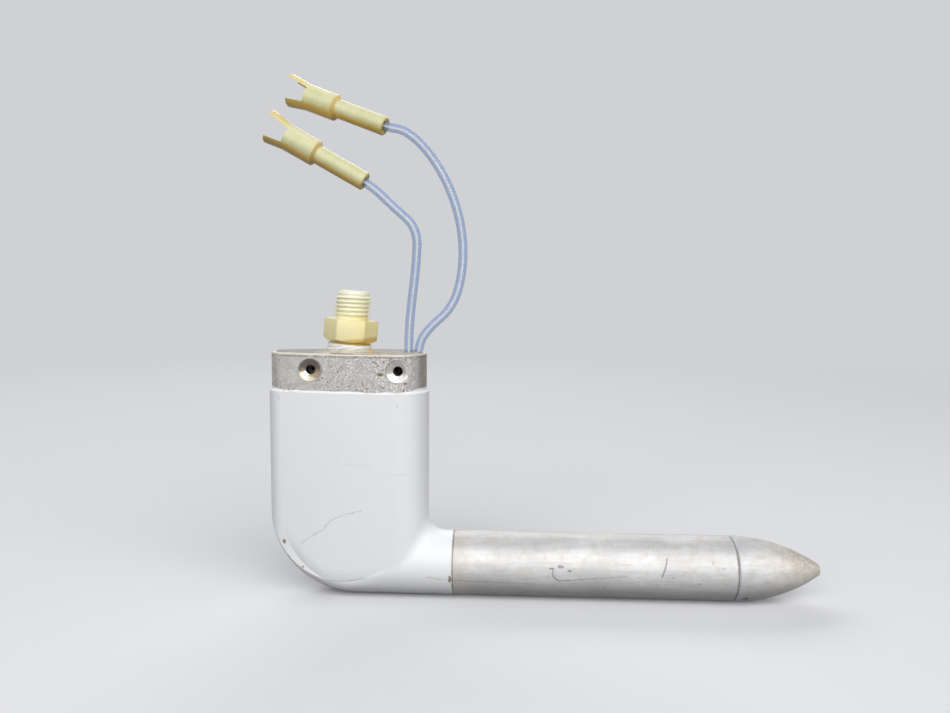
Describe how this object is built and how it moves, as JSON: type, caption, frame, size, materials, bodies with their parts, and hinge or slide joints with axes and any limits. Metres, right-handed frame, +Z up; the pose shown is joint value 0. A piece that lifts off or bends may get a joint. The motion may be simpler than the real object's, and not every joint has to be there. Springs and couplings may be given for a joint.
{
  "type": "pitot tube",
  "caption": "Heated pitot tube on an L-shaped cast mast, with a bare mounting collar, a nylon pressure fitting and two short heater leads in crimped terminals.",
  "frame": {"origin": "centre of the collar's top face, where the collar seats in the wing's mounting", "axes": "+X forward along the probe towards the air inlet, +Z up into the wing, +Y across, away from the near row of screws"},
  "size_m": [0.172, 0.0224, 0.1624],
  "materials": {
    "mast_paint": "gloss white paint on the strut and socket, bare cast aluminium on the collar",
    "probe_metal": "satin, lightly scratched",
    "seam_compound": "brown sealing compound",
    "plain_brass": "plain drawn brass",
    "heater_ceramic": "unglazed",
    "element_wire": "bright resistance wire",
    "insulating_wrap": "mica and glass wrap",
    "glass_sleeving": "woven glass sleeving",
    "tinned_metal": "tin plated",
    "cream_sealant": "cured sealing compound, uneven",
    "natural_nylon": "yellowed natural nylon",
    "white_tape": "wound sealing tape",
    "lead_sleeve": "translucent sleeve over twisted strands",
    "terminal_nylon": "translucent yellowed nylon"
  },
  "bodies": {
    "root": {"mast": "mast_paint", "probe_tube": "probe_metal", "nose": "probe_metal", "nose_seal": "seam_compound", "front_baffle": "plain_brass", "rear_baffle": "plain_brass", "pressure_pipe": "plain_brass", "heater_former": "heater_ceramic", "heater_element": "element_wire", "heater_wrap": "insulating_wrap", "rear_plug": "heater_ceramic", "tail_inner": "glass_sleeving", "tail_outer": "glass_sleeving", "splice_inner": "tinned_metal", "splice_outer": "tinned_metal", "potting": "cream_sealant", "fitting": "natural_nylon", "thread_seal": "white_tape", "lead_inner": "lead_sleeve", "lead_outer": "lead_sleeve", "terminal_inner": "terminal_nylon", "terminal_outer": "terminal_nylon", "receptacle_inner": "tinned_metal", "receptacle_outer": "tinned_metal"}
  },
  "joints": []
}
